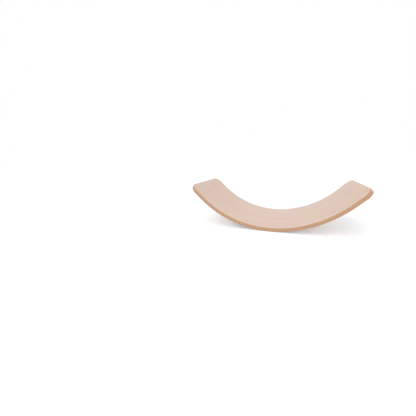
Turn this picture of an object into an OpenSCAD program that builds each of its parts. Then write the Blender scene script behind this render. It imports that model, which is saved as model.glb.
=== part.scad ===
// Curvy balance board: one sheet of moulded plywood, bent through a quarter circle.
// Veneers and glue lines are separate layers. They share one routed edge, which follows
// the bend, the straight ends and the rounded corners.
// +X runs along the board, +Y across it, +Z up. The origin is where the crown meets the floor.

/* [Bend] */
// Radius of the seat face, the hollow side of the board
seat_r = 460; // [350:5:700]
// Straight run between the bend and the rounded corners
lead_out = 34; // [4:1:60]

/* [Outline] */
// Width across the board
board_w = 300; // [220:5:400]
// Radius of the four corners, seen square to the face
corner_r = 40; // [20:1:90]
// Radius of the round-over along the edge of both faces
edge_r = 4; // [2:0.5:6]

/* [Lay-up] */
// Number of veneers, odd so that the grain of both faces runs along the board
ply_count = 11; // [7:2:13]
// Pressed thickness of one veneer
veneer_t = 1.6; // [1:0.1:2]
// Cured thickness of one glue line
glue_t = 0.1; // [0.05:0.05:0.3]

/* [Hidden] */
// The bend is a quarter circle, and so is each corner
quarter_turn = 90;
// The rim keeps at least half a veneer square between its two round-overs
rim_share = 0.5;
pitch = veneer_t + glue_t;
thickness = ply_count * pitch - glue_t;
edge = min(edge_r, (thickness - rim_share * veneer_t) / 2);
// Width between the centres of the corners
core_w = board_w - 2 * corner_r;
underside_r = seat_r + thickness;

along_grain = "#e3cab4";
across_grain = "#c39a78";
cured_resin = "#8f5c38";

function two_digits(i) = str(i < 10 ? "0" : "", i);
function ply_name(i) = str("ply_", two_digits(i));
function glue_name(i) = str("glue_line_", two_digits(i));
function ply_top(i) = (i - 1) * pitch;

INNER_PLIES = [for (i = [2 : ply_count - 1]) ply_name(i)];
GLUE_LINES = [for (i = [1 : ply_count - 1]) glue_name(i)];
$fn = 180;

// Routed edge of the whole board: x runs out from the corner centres, y down from the seat face
module rim() {
    square([corner_r - edge, thickness]);
    translate([0, edge]) square([corner_r, thickness - 2 * edge]);
    for (depth = [edge, thickness - edge])
        translate([corner_r - edge, depth]) circle(edge);
}

// The part of the rim that one layer takes up
module layer_rim(top, thick) {
    intersection() {
        rim();
        translate([0, top]) square([corner_r, thick]);
    }
}

// Section across one layer: x is the distance from the axis of the bend, y the place across the board
module layer_section(top, thick) {
    translate([seat_r + top, -core_w / 2]) square([thick, core_w]);
    for (flip = [0, 1])
        mirror([0, flip]) translate([seat_r, core_w / 2]) mirror([1, -1]) layer_rim(top, thick);
}

// Straight end of one layer: a short run, then the rim carried round two corners and across the end
module layer_end(top, thick) {
    rotate([90, 0, 0]) linear_extrude(lead_out) layer_section(top, thick);
    translate([seat_r, -lead_out, 0]) rotate([0, 0, -90]) {
        linear_extrude(core_w, center = true) layer_rim(top, thick);
        for (flip = [0, 1])
            mirror([0, 0, flip]) translate([0, 0, -core_w / 2]) rotate([-90, 0, 0])
                rotate_extrude(angle = quarter_turn) layer_rim(top, thick);
    }
}

// One whole layer, standing on the floor with the rest of the board
module layer(top, thick) {
    translate([0, 0, underside_r]) rotate([90, 0, 0]) rotate([0, 0, -quarter_turn - quarter_turn / 2]) {
        rotate_extrude(angle = quarter_turn) layer_section(top, thick);
        for (flip = [0, 1])
            mirror(flip * [1, -1, 0]) layer_end(top, thick);
    }
}

module seat_veneer() {
    color(along_grain) layer(ply_top(1), veneer_t);
}

module inner_ply(i) {
    color(i % 2 == 1 ? along_grain : across_grain) layer(ply_top(i), veneer_t);
}

module base_veneer() {
    color(along_grain) layer(ply_top(ply_count), veneer_t);
}

module glue_line(i) {
    color(cured_resin) layer(ply_top(i) + veneer_t, glue_t);
}

seat_veneer();
for (i = [2 : ply_count - 1])
    inner_ply(i);
base_veneer();
for (i = [1 : ply_count - 1])
    glue_line(i);
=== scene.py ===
"""Curvy balance board of moulded beech plywood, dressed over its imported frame.

One Geometry Nodes tree lays every veneer and glue line. A flat sheet is carried down through the layer's own
thickness, trimmed to the board's outline with its routed edge, and bent over the press form. Lengths are in
metres.
"""

import logging
import math
from dataclasses import dataclass, field
from enum import Enum
from typing import Any, Mapping, Sequence

import bpy
from mathutils import Matrix, Vector


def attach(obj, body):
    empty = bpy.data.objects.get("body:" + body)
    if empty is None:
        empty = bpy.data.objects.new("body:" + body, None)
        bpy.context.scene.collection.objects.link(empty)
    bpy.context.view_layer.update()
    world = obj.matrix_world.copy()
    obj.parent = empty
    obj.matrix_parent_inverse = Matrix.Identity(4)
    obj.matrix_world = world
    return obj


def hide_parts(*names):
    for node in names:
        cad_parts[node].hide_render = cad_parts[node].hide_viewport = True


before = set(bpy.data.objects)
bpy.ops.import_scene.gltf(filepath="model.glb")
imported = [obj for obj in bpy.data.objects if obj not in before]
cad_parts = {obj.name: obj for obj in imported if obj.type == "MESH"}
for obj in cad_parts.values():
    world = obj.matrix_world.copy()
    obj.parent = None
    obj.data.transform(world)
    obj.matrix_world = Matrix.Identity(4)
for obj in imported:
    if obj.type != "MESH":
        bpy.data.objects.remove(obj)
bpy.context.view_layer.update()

Node = bpy.types.Node
Outputs = bpy.types.NodeOutputs
Tree = bpy.types.NodeTree

LOG = logging.getLogger("balance_board")
BODY = "root"
PHOTO_PX = 416.0
QUARTER_TURN = math.pi / 2.0

MATH = "ShaderNodeMath"
VECTOR_MATH = "ShaderNodeVectorMath"
COMBINE = "ShaderNodeCombineXYZ"
SEPARATE = "ShaderNodeSeparateXYZ"
MAP_RANGE = "ShaderNodeMapRange"
MIX = "ShaderNodeMix"
STORE = "GeometryNodeStoreNamedAttribute"
RECALL = "GeometryNodeInputNamedAttribute"

# What a layer keeps for its finish. The lay is the place along, across and down through the flat sheet.
# The rim is how far the edge has turned from the face, how much it faces the board's end, and how far in
# from the outline a point lies.
LAY = "lay"
RIM = "rim"


class Grain(Enum):
    """Which way the fibres of a veneer run, as the turn of its pattern on the board."""

    ALONG = 0.0
    ACROSS = QUARTER_TURN


class Slot(Enum):
    """Kinds of layer, one material for each."""

    FACE = "face_veneer"
    LONG_PLY = "long_grain_ply"
    CROSS_PLY = "cross_grain_ply"
    GLUE = "glue_line"


def mm(length: float) -> float:
    """Return a length in millimetres as metres."""
    return length / 1000.0


def linear(hex_colour: str) -> tuple[float, float, float, float]:
    """Turn an sRGB hex colour into linear RGBA.

    Args:
        hex_colour: Colour such as "#e3cabd".

    Returns:
        Linear red, green and blue, and an alpha of one.
    """
    channels = (int(hex_colour[i:i + 2], 16) / 255.0 for i in (1, 3, 5))
    red, green, blue = (c / 12.92 if c <= 0.04045 else ((c + 0.055) / 1.055) ** 2.4 for c in channels)
    return red, green, blue, 1.0


def add_node(
    tree: Tree, kind: str, inputs: Mapping[str, Any] | Sequence[Any] = (), **settings: Any,
) -> Node:
    """Add one node to a tree, with its settings, input values and incoming links.

    Args:
        tree: Tree of a material, a world or a geometry group.
        kind: Blender's identifier of the node.
        inputs: Values by input name, or in the order of the inputs. A node stands for its first output.
        **settings: Properties of the node.

    Returns:
        The new node.
    """
    node = tree.nodes.new(kind)
    for name, value in settings.items():
        setattr(node, name, value)
    sockets = [s for s in node.inputs if s.enabled]
    keyed = inputs.items() if isinstance(inputs, Mapping) else enumerate(inputs)
    for key, value in keyed:
        socket = sockets[key] if isinstance(key, int) else next(s for s in sockets if s.name == key)
        if isinstance(value, Node):
            value = next(s for s in value.outputs if s.enabled)
        if isinstance(value, bpy.types.NodeSocket):
            tree.links.new(value, socket)
        else:
            socket.default_value = value
    return node


def empty_material(name: str) -> bpy.types.Material:
    """Add a material whose node tree is empty.

    Args:
        name: Name of the real material and how it was made.

    Returns:
        The new material.
    """
    material = bpy.data.materials.new(name)
    material.use_nodes = True
    material.node_tree.nodes.clear()
    return material


@dataclass(frozen=True)
class Figure:
    """A noise pattern in the wood. Its size runs along the grain, across it and through the sheet."""

    name: str
    size_mm: tuple[float, float, float]
    detail: float


@dataclass(frozen=True)
class Tint(Figure):
    """A figure that tints the face, from nothing at the noise value start to its share at full."""

    colour: str
    start: float
    full: float
    share: float


@dataclass(frozen=True)
class Shade(Figure):
    """A figure that shades the sanded edge, which it multiplies by a value from darkest to lightest."""

    darkest: float
    lightest: float


@dataclass(frozen=True)
class BeechVeneer:
    """Steamed beech, peeled from the log, pressed, sanded and sealed with a thin satin lacquer."""

    name: str
    grain: Grain
    ground: str = "#e0c6ba"
    # Paler line beside the edge: sanded wood, and a painted highlight where the round-over would catch the
    # light
    sanded_and_highlight: str = "#ead7bd"
    long_edge: str = "#e4bc9b"
    end_edge: str = "#ba865e"
    # Real ray flecks are about 3 by 0.4 mm. They are drawn three to four times as large, or none would show.
    tints: tuple[Tint, ...] = (
        Tint("cloud", (150.0, 80.0, 80.0), detail=2.0, colour="#e2cab1", start=0.40, full=0.62, share=0.80),
        Tint("blush", (420.0, 45.0, 45.0), detail=3.0, colour="#dcbcb0", start=0.44, full=0.70, share=0.60),
        Tint("fibre", (70.0, 1.8, 1.8), detail=4.0, colour="#dcbcb0", start=0.50, full=0.75, share=0.45),
        Tint("fleck", (10.0, 1.5, 1.5), detail=1.0, colour="#b3886d", start=0.60, full=0.74, share=0.38),
    )
    # Real pores are about 0.1 mm wide, and are drawn six times as wide for the same reason. The tone changes
    # from ply to ply, because each veneer comes from another part of the log.
    shades: tuple[Shade, ...] = (
        Shade("pore", (30.0, 0.6, 0.6), detail=2.0, darkest=0.72, lightest=1.26),
        Shade("tone", (600.0, 600.0, 1.7), detail=0.0, darkest=0.84, lightest=1.14),
    )
    # Width of the paler line beside the edge, and its share of the colour at the outline. The line is partly
    # sanded wood and partly a painted highlight of the round-over.
    sanded_and_highlight_mm: float = 9.0
    sanded_and_highlight_share: float = 0.75
    # The edge colour sets in over this part of the round-over, which runs from 0 at the face to 1 at the side
    edge_start: float = 0.15
    edge_full: float = 0.42
    fibre_depth_mm: float = 0.06
    fibre_bump: float = 0.6
    roughness: float = 0.48
    roughness_swing: float = 0.08
    ior: float = 1.5
    coat: float = 0.15
    coat_roughness: float = 0.35

    def material(self) -> bpy.types.Material:
        """Build the finish on the board's own lay, with its face, its arris and its sanded edge.

        Returns:
            The material, which reads the lay and the rim.
        """
        # Peeling gives the eye an even rosy ground with watery pink bands and yellower clouds. Fibres and
        # short brown flecks run along it. Sanding leaves a paler line beside the edge, and that line is also
        # brightened as a painted highlight, where the round-over would catch the light. The edge itself is
        # tan, and darker where it cuts the fibres across.
        material = empty_material(self.name)
        tree = material.node_tree
        pattern = self._patterns(tree)
        marks = add_node(tree, "ShaderNodeAttribute", attribute_name=RIM)
        turned, endwise, margin = add_node(tree, SEPARATE, [marks.outputs["Vector"]]).outputs
        colours = [(pattern[t.name], linear(t.colour), t.start, t.full, t.share) for t in self.tints]
        colours += [
            # Paler line by the outline: sanded wood, and a painted highlight of the round-over
            (margin, linear(self.sanded_and_highlight), mm(self.sanded_and_highlight_mm), 0.0, self.sanded_and_highlight_share),
            (turned, self._edge(tree, pattern, endwise), self.edge_start, self.edge_full, 1.0),
        ]
        colour: Any = linear(self.ground)
        for value, over, start, full, most in colours:
            share = add_node(
                tree, MAP_RANGE, {"Value": value, "From Min": start, "From Max": full, "To Max": most},
            )
            colour = add_node(tree, MIX, {"Factor": share, "A": colour, "B": over}, data_type="RGBA")
        smoothest = self.roughness - self.roughness_swing
        roughest = self.roughness + self.roughness_swing
        rough = add_node(
            tree, MAP_RANGE, {"Value": pattern["fibre"], "To Min": smoothest, "To Max": roughest},
        )
        depth = mm(self.fibre_depth_mm)
        bump = add_node(
            tree, "ShaderNodeBump",
            {"Strength": self.fibre_bump, "Distance": depth, "Height": pattern["fibre"]},
        )
        shader = add_node(
            tree, "ShaderNodeBsdfPrincipled",
            {"Base Color": colour, "Roughness": rough, "Normal": bump, "IOR": self.ior,
             "Coat Weight": self.coat, "Coat Roughness": self.coat_roughness},
        )
        add_node(tree, "ShaderNodeOutputMaterial", {"Surface": shader})
        return material

    def _patterns(self, tree: Tree) -> dict[str, Node]:
        """Add the noise patterns of the wood, turned with its grain.

        Args:
            tree: Node tree of the material.

        Returns:
            The pattern nodes by name.
        """
        lay = add_node(tree, "ShaderNodeAttribute", attribute_name=LAY)
        turn = (0.0, 0.0, self.grain.value)
        along = add_node(tree, "ShaderNodeMapping", {"Vector": lay.outputs["Vector"], "Rotation": turn})
        patterns = {}
        for figure in (*self.tints, *self.shades):
            per_metre = [1.0 / mm(length) for length in figure.size_mm]
            scaled = add_node(tree, "ShaderNodeMapping", {"Vector": along, "Scale": per_metre})
            patterns[figure.name] = add_node(
                tree, "ShaderNodeTexNoise", {"Vector": scaled, "Scale": 1.0, "Detail": figure.detail},
            )
        return patterns

    def _edge(self, tree: Tree, pattern: Mapping[str, Node], endwise: bpy.types.NodeSocket) -> Node:
        """Add the colour of the sanded edge.

        Args:
            tree: Node tree of the material.
            pattern: The pattern nodes by name.
            endwise: Zero on the board's long sides and one on its ends.

        Returns:
            The node that gives the colour.
        """
        sides, ends = self.long_edge, self.end_edge
        if self.grain is Grain.ACROSS:
            sides, ends = ends, sides
        colour = add_node(
            tree, MIX, {"Factor": endwise, "A": linear(sides), "B": linear(ends)}, data_type="RGBA",
        )
        for figure in self.shades:
            shade = add_node(
                tree, MAP_RANGE,
                {"Value": pattern[figure.name], "To Min": figure.darkest, "To Max": figure.lightest},
            )
            colour = add_node(
                tree, MIX, {"Factor": 1.0, "A": colour, "B": shade}, data_type="RGBA", blend_type="MULTIPLY",
            )
        return colour


@dataclass(frozen=True)
class CuredGlue:
    """Urea resin, hot-pressed between two veneers until it set hard."""

    name: str = "hot_pressed_urea_glue"
    film: str = "#96663f"
    soaked: str = "#704727"
    soak_mm: float = 7.0
    soak_detail: float = 2.0
    roughness: float = 0.4
    roughness_swing: float = 0.1
    ior: float = 1.5

    def material(self) -> bpy.types.Material:
        """Build the finish on the board's own lay.

        Returns:
            The material, which reads the lay.
        """
        # The eye sees a brown hairline between two veneers, darker where the wood drank more of it.
        material = empty_material(self.name)
        tree = material.node_tree
        lay = add_node(tree, "ShaderNodeAttribute", attribute_name=LAY)
        per_metre = 1.0 / mm(self.soak_mm)
        soak = add_node(
            tree, "ShaderNodeTexNoise",
            {"Vector": lay.outputs["Vector"], "Scale": per_metre, "Detail": self.soak_detail},
        )
        colour = add_node(
            tree, MIX, {"Factor": soak, "A": linear(self.film), "B": linear(self.soaked)}, data_type="RGBA",
        )
        smoothest = self.roughness - self.roughness_swing
        roughest = self.roughness + self.roughness_swing
        rough = add_node(tree, MAP_RANGE, {"Value": soak, "To Min": smoothest, "To Max": roughest})
        shader = add_node(
            tree, "ShaderNodeBsdfPrincipled", {"Base Color": colour, "Roughness": rough, "IOR": self.ior},
        )
        add_node(tree, "ShaderNodeOutputMaterial", {"Surface": shader})
        return material


@dataclass
class PressedSheet:
    """The form that all layers share: round corners, a routed edge and a bend of a quarter circle."""

    seat_r: float = mm(460.0)
    half_bend: float = QUARTER_TURN / 2.0
    lead_out: float = mm(34.0)
    width: float = mm(300.0)
    corner_r: float = mm(40.0)
    edge_r: float = mm(4.0)
    veneer: float = mm(1.6)
    glue: float = mm(0.1)
    ply_count: int = 11
    # Points along the board, and the share of them on the straight sides. The others go round the corners.
    stations: int = 181
    side_share: float = 0.84
    # Points across the board and steps down the rim. They are finest in the two face veneers, and one step is
    # enough where the rim is straight.
    face_points: int = 41
    inner_points: int = 9
    face_steps: int = 8
    curved_steps: int = 3
    straight_steps: int = 1
    # Points nearer than this are merged, which joins the sides to the face that they start from
    weld: float = mm(0.002)
    crease: float = math.radians(35.0)
    pitch: float = field(init=False)
    thickness: float = field(init=False)
    tree: Tree = field(init=False)

    def __post_init__(self) -> None:
        """Work out the thickness of the lay-up and build the tree that lays one layer of it."""
        self.pitch = self.veneer + self.glue
        self.thickness = self.ply_count * self.pitch - self.glue
        self.tree = self._layer_tree()

    def lay(
        self, node: str, top: float, thick: float, finish: bpy.types.Material, slot: Slot,
    ) -> bpy.types.Object:
        """Lay one layer and keep it as a plain mesh.

        Layers below the middle are laid from the underside up, so that the fine steps of the rim always start
        at the nearer face.

        Args:
            node: CAD node that the layer stands for.
            top: Depth of its upper face below the seat face.
            thick: Its thickness.
            finish: Its material.
            slot: Its kind of layer. Not used.

        Returns:
            The piece, which rides on the board's body.
        """
        bottom = top + thick
        upward = top + bottom > self.thickness
        steps, points = self._fineness(self.thickness - bottom if upward else top)
        values = {
            "Seat Radius": self.seat_r, "Half Bend": self.half_bend, "Lead Out": self.lead_out,
            "Width": self.width, "Corner Radius": self.corner_r, "Edge Radius": self.edge_r,
            "Board Thickness": self.thickness, "Side Share": self.side_share,
            "Weld": self.weld, "Crease": self.crease,
            "Layer Start": bottom if upward else top, "Layer Depth": -thick if upward else thick,
            "Rim Steps": steps, "Stations": self.stations, "Across": points, "Finish": finish,
        }
        blank = bpy.data.objects.new("blank_sheet", bpy.data.meshes.new("blank_sheet"))
        bpy.context.scene.collection.objects.link(blank)
        press = blank.modifiers.new("press", "NODES")
        press.node_group = self.tree
        for item in self.tree.interface.items_tree:
            if item.in_out == "INPUT":
                press[item.identifier] = values[item.name]
        graph = bpy.context.evaluated_depsgraph_get()
        mesh = bpy.data.meshes.new_from_object(blank.evaluated_get(graph), depsgraph=graph)
        blank.modifiers.remove(press)
        bpy.data.objects.remove(blank)
        piece = bpy.data.objects.new(f"{node}_layer", mesh)
        bpy.context.scene.collection.objects.link(piece)
        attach(piece, BODY)
        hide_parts(node)
        return piece

    def _fineness(self, near: float) -> tuple[int, int]:
        """Choose how finely a layer is made.

        Args:
            near: Its distance from the nearer face of the board.

        Returns:
            The steps down its rim and the points across it.
        """
        if near < self.glue:
            return self.face_steps, self.face_points
        if near < self.edge_r:
            return self.curved_steps, self.inner_points
        return self.straight_steps, self.inner_points

    def _layer_tree(self) -> Tree:
        """Build the tree that lays one layer from its named sizes.

        Returns:
            The geometry tree, which ends in Realize Instances and Set Material.
        """
        tree = bpy.data.node_groups.new("pressed_layer", "GeometryNodeTree")
        for kind, names in (
            ("Float", ("Seat Radius", "Half Bend", "Lead Out", "Width", "Corner Radius", "Edge Radius",
                       "Board Thickness", "Side Share", "Weld", "Crease", "Layer Start", "Layer Depth")),
            ("Int", ("Rim Steps", "Stations", "Across")),
            ("Material", ("Finish",)),
        ):
            for name in names:
                tree.interface.new_socket(name, in_out="INPUT", socket_type=f"NodeSocket{kind}")
        tree.interface.new_socket("Geometry", in_out="OUTPUT", socket_type="NodeSocketGeometry")
        size = add_node(tree, "NodeGroupInput").outputs
        bent = self._bend(tree, size, self._step_down(tree, size))
        merged = add_node(tree, "GeometryNodeMergeByDistance", {"Geometry": bent, "Distance": size["Weld"]})
        smooth = add_node(tree, "GeometryNodeSetShadeSmooth", {"Geometry": merged})
        angle = add_node(tree, "GeometryNodeInputMeshEdgeAngle").outputs["Unsigned Angle"]
        sharp = add_node(
            tree, "FunctionNodeCompare", {"A": angle, "B": size["Crease"]}, operation="GREATER_THAN",
        )
        creased = add_node(
            tree, "GeometryNodeSetShadeSmooth",
            {"Geometry": smooth, "Selection": sharp, "Shade Smooth": False}, domain="EDGE",
        )
        real = add_node(tree, "GeometryNodeRealizeInstances", {"Geometry": creased})
        dressed = add_node(tree, "GeometryNodeSetMaterial", {"Geometry": real, "Material": size["Finish"]})
        add_node(tree, "NodeGroupOutput", {"Geometry": dressed})
        return tree

    def _step_down(self, tree: Tree, size: Outputs) -> Node:
        """Add a flat sheet that is carried through the layer step by step and closed.

        Args:
            tree: Geometry tree.
            size: Outputs of the group's input node.

        Returns:
            The node that gives the closed sheet, still flat, with its plan and depth stored.
        """
        # The plan runs from minus one to one, along and across
        grid = add_node(
            tree, "GeometryNodeMeshGrid",
            {"Size X": 2.0, "Size Y": 2.0, "Vertices X": size["Stations"], "Vertices Y": size["Across"]},
        )
        here = add_node(tree, "GeometryNodeInputPosition")
        plan = add_node(
            tree, STORE, {"Geometry": grid, "Name": "plan", "Value": here}, data_type="FLOAT_VECTOR",
        )
        first = add_node(tree, STORE, {"Geometry": plan, "Name": "depth", "Value": size["Layer Start"]})
        front = add_node(
            tree, STORE, {"Geometry": first, "Name": "front", "Value": True},
            data_type="BOOLEAN", domain="FACE",
        )
        begin = add_node(tree, "GeometryNodeRepeatInput")
        end = add_node(tree, "GeometryNodeRepeatOutput")
        begin.pair_with_output(end)
        tree.links.new(size["Rim Steps"], begin.inputs["Iterations"])
        tree.links.new(front.outputs["Geometry"], begin.inputs["Geometry"])
        # Only the face in front moves on, and the sides of the steps before it stay
        moving = add_node(tree, RECALL, {"Name": "front"}, data_type="BOOLEAN")
        grown = add_node(
            tree, "GeometryNodeExtrudeMesh",
            {"Mesh": begin.outputs["Geometry"], "Selection": moving,
             "Offset Scale": 0.0, "Individual": False},
        )
        moved = grown.outputs["Top"]
        marked = add_node(
            tree, STORE, {"Geometry": grown, "Name": "front", "Value": moved},
            data_type="BOOLEAN", domain="FACE",
        )
        # Squared, so that the steps are even round the round-over
        count = add_node(tree, MATH, (begin.outputs["Iteration"], 1.0), operation="ADD")
        share = add_node(tree, MATH, (count, size["Rim Steps"]), operation="DIVIDE")
        eased = add_node(tree, MATH, (share, share), operation="MULTIPLY")
        depth = add_node(
            tree, MATH, (eased, size["Layer Depth"], size["Layer Start"]), operation="MULTIPLY_ADD",
        )
        lowered = add_node(
            tree, STORE, {"Geometry": marked, "Selection": moved, "Name": "depth", "Value": depth},
        )
        tree.links.new(lowered.outputs["Geometry"], end.inputs["Geometry"])
        outward = add_node(tree, "GeometryNodeFlipFaces", {"Mesh": end.outputs["Geometry"]})
        closed = add_node(tree, "GeometryNodeJoinGeometry", {"Geometry": outward})
        tree.links.new(first.outputs["Geometry"], closed.inputs["Geometry"])
        upward = add_node(
            tree, "FunctionNodeCompare", {"A": size["Layer Depth"], "B": 0.0}, operation="LESS_THAN",
        )
        return add_node(tree, "GeometryNodeFlipFaces", {"Mesh": closed, "Selection": upward})

    def _bend(self, tree: Tree, size: Outputs, sheet: Node) -> Node:
        """Trim the flat sheet to the outline, round its edge and bend it.

        Args:
            tree: Geometry tree.
            size: Outputs of the group's input node.
            sheet: Node that gives the closed flat sheet.

        Returns:
            The node that gives the bent layer, with its lay and rim stored for the finish.
        """
        depth = add_node(tree, RECALL, {"Name": "depth"})
        inset = self._inset(tree, size, depth)
        centre = self._corner_centre(tree, size)
        along, across, ahead = self._trim(tree, size, inset, centre)
        place = self._wrap(tree, size, (along, across, depth))
        margin = self._margin(tree, size, (along, across), centre)
        shed = add_node(tree, MATH, (inset, size["Edge Radius"]), operation="DIVIDE")
        turned = add_node(tree, MATH, (1.0, shed), operation="SUBTRACT")
        endwise = add_node(tree, MATH, (ahead, ahead), operation="MULTIPLY")
        layer = sheet
        for name, parts in ((LAY, (along, across, depth)), (RIM, (turned, endwise, margin))):
            value = add_node(tree, COMBINE, parts)
            layer = add_node(
                tree, STORE, {"Geometry": layer, "Name": name, "Value": value}, data_type="FLOAT_VECTOR",
            )
        layer = add_node(tree, "GeometryNodeSetPosition", {"Geometry": layer, "Position": place})
        for name in ("plan", "depth", "front"):
            layer = add_node(tree, "GeometryNodeRemoveAttribute", {"Geometry": layer, "Name": name})
        return layer

    def _inset(self, tree: Tree, size: Outputs, depth: Node) -> Node:
        """Work out how far the round-over draws the outline in.

        Args:
            tree: Geometry tree.
            size: Outputs of the group's input node.
            depth: Depth below the seat face.

        Returns:
            The node that gives the inset at that depth.
        """
        edge = size["Edge Radius"]
        under = add_node(tree, MATH, (size["Board Thickness"], depth), operation="SUBTRACT")
        near = add_node(tree, MATH, (depth, under), operation="MINIMUM")
        short = add_node(tree, MATH, (edge, near), operation="SUBTRACT")
        rise = add_node(tree, MATH, (short, 0.0), operation="MAXIMUM")
        rise_sq = add_node(tree, MATH, (rise, rise), operation="MULTIPLY")
        edge_sq = add_node(tree, MATH, (edge, edge), operation="MULTIPLY")
        left_sq = add_node(tree, MATH, (edge_sq, rise_sq), operation="SUBTRACT")
        left = add_node(tree, MATH, (left_sq,), operation="SQRT")
        return add_node(tree, MATH, (edge, left), operation="SUBTRACT")

    def _corner_centre(self, tree: Tree, size: Outputs) -> tuple[Node, Node]:
        """Place the centre of a corner on the flat sheet.

        Args:
            tree: Geometry tree.
            size: Outputs of the group's input node.

        Returns:
            The nodes that give its distance from the board's middle, along and across.
        """
        bend = (size["Seat Radius"], size["Half Bend"], size["Lead Out"])
        along = add_node(tree, MATH, bend, operation="MULTIPLY_ADD")
        half = add_node(tree, MATH, (size["Width"], 0.5), operation="MULTIPLY")
        across = add_node(tree, MATH, (half, size["Corner Radius"]), operation="SUBTRACT")
        return along, across

    def _trim(
        self, tree: Tree, size: Outputs, inset: Node, centre: tuple[Node, Node],
    ) -> tuple[Node, Node, Node]:
        """Fit the square plan to the outline: a straight side, then a quarter turn round the corner.

        Args:
            tree: Geometry tree.
            size: Outputs of the group's input node.
            inset: How far the round-over draws the outline in.
            centre: Centre of a corner, along and across.

        Returns:
            The nodes that give the place along the board, the place across it, and how much the outline there
            faces the end.
        """
        plan = add_node(tree, RECALL, {"Name": "plan"}, data_type="FLOAT_VECTOR")
        plan_x, plan_y, _ = add_node(tree, SEPARATE, [plan]).outputs
        reach = add_node(tree, MATH, (size["Corner Radius"], inset), operation="SUBTRACT")
        station = add_node(tree, MATH, (plan_x,), operation="ABSOLUTE")
        side = add_node(
            tree, MAP_RANGE, {"Value": station, "From Max": size["Side Share"], "To Max": centre[0]},
        )
        turn = add_node(
            tree, MAP_RANGE,
            {"Value": station, "From Min": size["Side Share"], "To Min": QUARTER_TURN, "To Max": 0.0},
        )
        ahead = add_node(tree, MATH, (turn,), operation="COSINE")
        aside = add_node(tree, MATH, (turn,), operation="SINE")
        length = add_node(tree, MATH, (reach, ahead, side), operation="MULTIPLY_ADD")
        sign = add_node(tree, MATH, (plan_x,), operation="SIGN")
        along = add_node(tree, MATH, (length, sign), operation="MULTIPLY")
        wide = add_node(tree, MATH, (reach, aside, centre[1]), operation="MULTIPLY_ADD")
        across = add_node(tree, MATH, (wide, plan_y), operation="MULTIPLY")
        return along, across, ahead

    def _wrap(self, tree: Tree, size: Outputs, lay: tuple[Node, Node, Node]) -> Node:
        """Bend the flat sheet as far as the ends of the bend, and let the rest run on straight.

        Args:
            tree: Geometry tree.
            size: Outputs of the group's input node.
            lay: Place along, across and down through the flat sheet.

        Returns:
            The node that gives the place in space.
        """
        along, across, depth = lay
        seat, half_bend = size["Seat Radius"], size["Half Bend"]
        whole = add_node(tree, MATH, (along, seat), operation="DIVIDE")
        back = add_node(tree, MATH, (half_bend, -1.0), operation="MULTIPLY")
        angle = add_node(tree, "ShaderNodeClamp", {"Value": whole, "Min": back, "Max": half_bend})
        used = add_node(tree, MATH, (angle, seat), operation="MULTIPLY")
        spare = add_node(tree, MATH, (along, used), operation="SUBTRACT")
        sine = add_node(tree, MATH, (angle,), operation="SINE")
        cosine = add_node(tree, MATH, (angle,), operation="COSINE")
        radius = add_node(tree, MATH, (seat, depth), operation="ADD")
        axis = add_node(tree, MATH, (seat, size["Board Thickness"]), operation="ADD")
        run_x = add_node(tree, MATH, (spare, cosine), operation="MULTIPLY")
        run_z = add_node(tree, MATH, (spare, sine, axis), operation="MULTIPLY_ADD")
        drop = add_node(tree, MATH, (radius, cosine), operation="MULTIPLY")
        x = add_node(tree, MATH, (radius, sine, run_x), operation="MULTIPLY_ADD")
        z = add_node(tree, MATH, (run_z, drop), operation="SUBTRACT")
        return add_node(tree, COMBINE, (x, across, z))

    def _margin(
        self, tree: Tree, size: Outputs, spot: tuple[Node, Node], centre: tuple[Node, Node],
    ) -> Node:
        """Work out how far a point lies in from the outline, seen square to the face.

        Args:
            tree: Geometry tree.
            size: Outputs of the group's input node.
            spot: Place along and across the flat sheet.
            centre: Centre of a corner, along and across.

        Returns:
            The node that gives the distance.
        """
        flat = add_node(tree, COMBINE, spot)
        folded = add_node(tree, VECTOR_MATH, (flat,), operation="ABSOLUTE")
        corner = add_node(tree, COMBINE, centre)
        past = add_node(tree, VECTOR_MATH, (folded, corner), operation="SUBTRACT")
        outside = add_node(tree, VECTOR_MATH, (past, (0.0, 0.0, 0.0)), operation="MAXIMUM")
        beyond = add_node(tree, VECTOR_MATH, (outside,), operation="LENGTH")
        past_along, past_across, _ = add_node(tree, SEPARATE, [past]).outputs
        nearer = add_node(tree, MATH, (past_along, past_across), operation="MAXIMUM")
        inside = add_node(tree, MATH, (nearer, 0.0), operation="MINIMUM")
        reached = add_node(tree, MATH, (beyond, inside), operation="ADD")
        return add_node(tree, MATH, (size["Corner Radius"], reached), operation="SUBTRACT")


@dataclass
class Veneers:
    """The crossed veneers of the lay-up, from the seat face down to the underside."""

    sheet: PressedSheet

    def build(self) -> list[bpy.types.Object]:
        """Lay and dress every veneer.

        Returns:
            The pieces, from the seat face down.
        """
        finishes = {
            Slot.FACE: BeechVeneer("peeled_beech_face_satin_lacquer", Grain.ALONG).material(),
            Slot.LONG_PLY: BeechVeneer("peeled_beech_ply_long_grain", Grain.ALONG).material(),
            Slot.CROSS_PLY: BeechVeneer("peeled_beech_ply_cross_grain", Grain.ACROSS).material(),
        }
        last = self.sheet.ply_count
        pieces = []
        for ply in range(1, last + 1):
            node = {1: "seat_veneer", last: "base_veneer"}.get(ply, f"ply_{ply:02d}")
            slot = self._slot(ply)
            top = (ply - 1) * self.sheet.pitch
            pieces.append(self.sheet.lay(node, top, self.sheet.veneer, finishes[slot], slot))
        return pieces

    def _slot(self, ply: int) -> Slot:
        """Choose the slot of a veneer by its grain and its place.

        Args:
            ply: Its number, counted from the seat face.

        Returns:
            The slot.
        """
        if ply % 2 == 0:
            return Slot.CROSS_PLY
        if ply in (1, self.sheet.ply_count):
            return Slot.FACE
        return Slot.LONG_PLY


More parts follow.
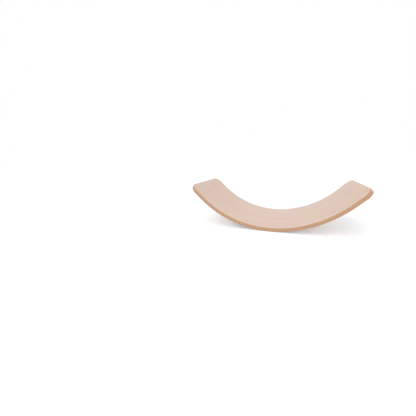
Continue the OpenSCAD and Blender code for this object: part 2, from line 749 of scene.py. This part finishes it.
@dataclass
class GlueLines:
    """The cured films that join each veneer to the next."""

    sheet: PressedSheet

    def build(self) -> list[bpy.types.Object]:
        """Lay and dress every film.

        Returns:
            The pieces, from the seat face down.
        """
        finish = CuredGlue().material()
        pieces = []
        for line in range(1, self.sheet.ply_count):
            top = line * self.sheet.pitch - self.sheet.glue
            pieces.append(self.sheet.lay(f"glue_line_{line:02d}", top, self.sheet.glue, finish, Slot.GLUE))
        return pieces


@dataclass
class Studio:
    """Plain pale floor, soft light from above and all round, and a camera at the photograph's angle."""

    distance: float = mm(900.0)
    aim_height: float = mm(90.0)
    azimuth: float = 0.1213
    elevation: float = 0.2703
    pan: float = 0.1641
    tilt: float = -0.0278
    roll: float = 0.0266
    focal_px: float = 170.6
    # The board stands right of the photograph's middle. Part of that is shift, the rest is pan.
    shift_px: float = 37.0
    sensor_mm: float = 36.0
    floor_reach: float = 40.0
    floor_white: str = "#fdfdfd"
    # Seen but not cast. It lifts the floor over white, so its faintest shade is lost, as in a product shot.
    # It is a little cool, to make up for the warm light that the wood throws into its own shadow.
    floor_glow: float = 0.26
    glow_tint: str = "#daf2ff"
    # The room is seen as plain white. Its light is brighter on the right, at plus X, than on the left.
    room_white: str = "#ffffff"
    room_seen: float = 1.0
    room_left: float = 0.38
    room_right: float = 0.95
    sun_level: float = 0.31
    sun_from: tuple[float, float, float] = (-0.5, -0.35, 1.0)
    sun_spread: float = math.radians(70.0)

    def build(self) -> None:
        """Set the view transform and put up the camera, the floor and the lights."""
        bpy.context.scene.view_settings.view_transform = "Standard"
        self._camera()
        self._floor()
        self._room()
        self._sun()

    def _camera(self) -> None:
        """Put the camera where the photograph was taken from."""
        flat = math.cos(self.elevation)
        rise = math.sin(self.elevation)
        back = Vector((math.sin(self.azimuth) * flat, -math.cos(self.azimuth) * flat, rise))
        ahead = -back
        right = Vector((math.cos(self.azimuth), math.sin(self.azimuth), 0.0))
        up = right.cross(ahead)
        for turn, axis in ((self.pan, up), (self.tilt, right)):
            step = Matrix.Rotation(turn, 3, axis)
            ahead, right, up = step @ ahead, step @ right, step @ up
        step = Matrix.Rotation(-self.roll, 3, ahead)
        right, up = step @ right, step @ up
        data = bpy.data.cameras.new("photo_camera")
        data.sensor_width = self.sensor_mm
        data.lens = self.focal_px / PHOTO_PX * self.sensor_mm
        data.shift_x = -self.shift_px / PHOTO_PX
        camera = bpy.data.objects.new("photo_camera", data)
        spot = Matrix.Translation(Vector((0.0, 0.0, self.aim_height)) + back * self.distance)
        camera.matrix_world = spot @ Matrix((right, up, -ahead)).transposed().to_4x4()
        bpy.context.scene.collection.objects.link(camera)
        bpy.context.scene.camera = camera

    def _floor(self) -> None:
        """Lay a wide white floor that keeps the board's shadow."""
        mesh = bpy.data.meshes.new("studio_floor")
        r = self.floor_reach
        mesh.from_pydata([(-r, -r, 0.0), (r, -r, 0.0), (r, r, 0.0), (-r, r, 0.0)], [], [(0, 1, 2, 3)])
        floor = bpy.data.objects.new("studio_floor", mesh)
        bpy.context.scene.collection.objects.link(floor)
        material = empty_material("matt_white_floor")
        tree = material.node_tree
        matt = add_node(tree, "ShaderNodeBsdfDiffuse", {"Color": linear(self.floor_white)})
        level = add_node(tree, MAP_RANGE, {"Value": self._seen(tree), "To Max": self.floor_glow})
        glow = add_node(tree, "ShaderNodeEmission", {"Color": linear(self.glow_tint), "Strength": level})
        lifted = add_node(tree, "ShaderNodeAddShader", (matt, glow))
        add_node(tree, "ShaderNodeOutputMaterial", {"Surface": lifted})
        mesh.materials.append(material)

    def _room(self) -> None:
        """Put a white room all round, which lights the board."""
        world = bpy.data.worlds.new("white_room")
        world.use_nodes = True
        tree = world.node_tree
        tree.nodes.clear()
        way = add_node(tree, "ShaderNodeTexCoord").outputs["Generated"]
        lean = add_node(tree, SEPARATE, [way]).outputs["X"]
        cast = add_node(
            tree, MAP_RANGE,
            {"Value": lean, "From Min": -1.0, "To Min": self.room_left, "To Max": self.room_right},
        )
        level = add_node(
            tree, MAP_RANGE, {"Value": self._seen(tree), "To Min": cast, "To Max": self.room_seen},
        )
        room = add_node(tree, "ShaderNodeBackground", {"Color": linear(self.room_white), "Strength": level})
        add_node(tree, "ShaderNodeOutputWorld", {"Surface": room})
        bpy.context.scene.world = world

    def _sun(self) -> None:
        """Hang a broad soft sun above the board, a little to its left and in front."""
        toward = Vector(self.sun_from).normalized()
        data = bpy.data.lights.new("soft_sun", "SUN")
        # Square above a level white surface, a sun of strength pi renders it as white
        data.energy = math.pi * self.sun_level / toward.z
        data.angle = self.sun_spread
        sun = bpy.data.objects.new("soft_sun", data)
        sun.rotation_euler = toward.to_track_quat("Z", "Y").to_euler()
        bpy.context.scene.collection.objects.link(sun)

    def _seen(self, tree: Tree) -> Node:
        """Add the nodes that tell rays of sight, direct or by way of gloss and glass, from rays of light.

        Args:
            tree: Node tree of a material or a world.

        Returns:
            The node that gives one for a ray of sight and zero for a ray of light.
        """
        path = add_node(tree, "ShaderNodeLightPath").outputs
        gloss = add_node(tree, MATH, (path["Is Camera Ray"], path["Is Glossy Ray"]), operation="MAXIMUM")
        return add_node(tree, MATH, (gloss, path["Is Transmission Ray"]), operation="MAXIMUM")


def main() -> None:
    """Build the lay-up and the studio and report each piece."""
    logging.basicConfig(level=logging.INFO, format="%(name)s: %(message)s")
    sheet = PressedSheet()
    for part in (Veneers(sheet), GlueLines(sheet)):
        for piece in part.build():
            LOG.info("%s: %d faces", piece.name, len(piece.data.polygons))
    bpy.data.node_groups.remove(sheet.tree)
    Studio().build()


if __name__ == "__main__":
    main()
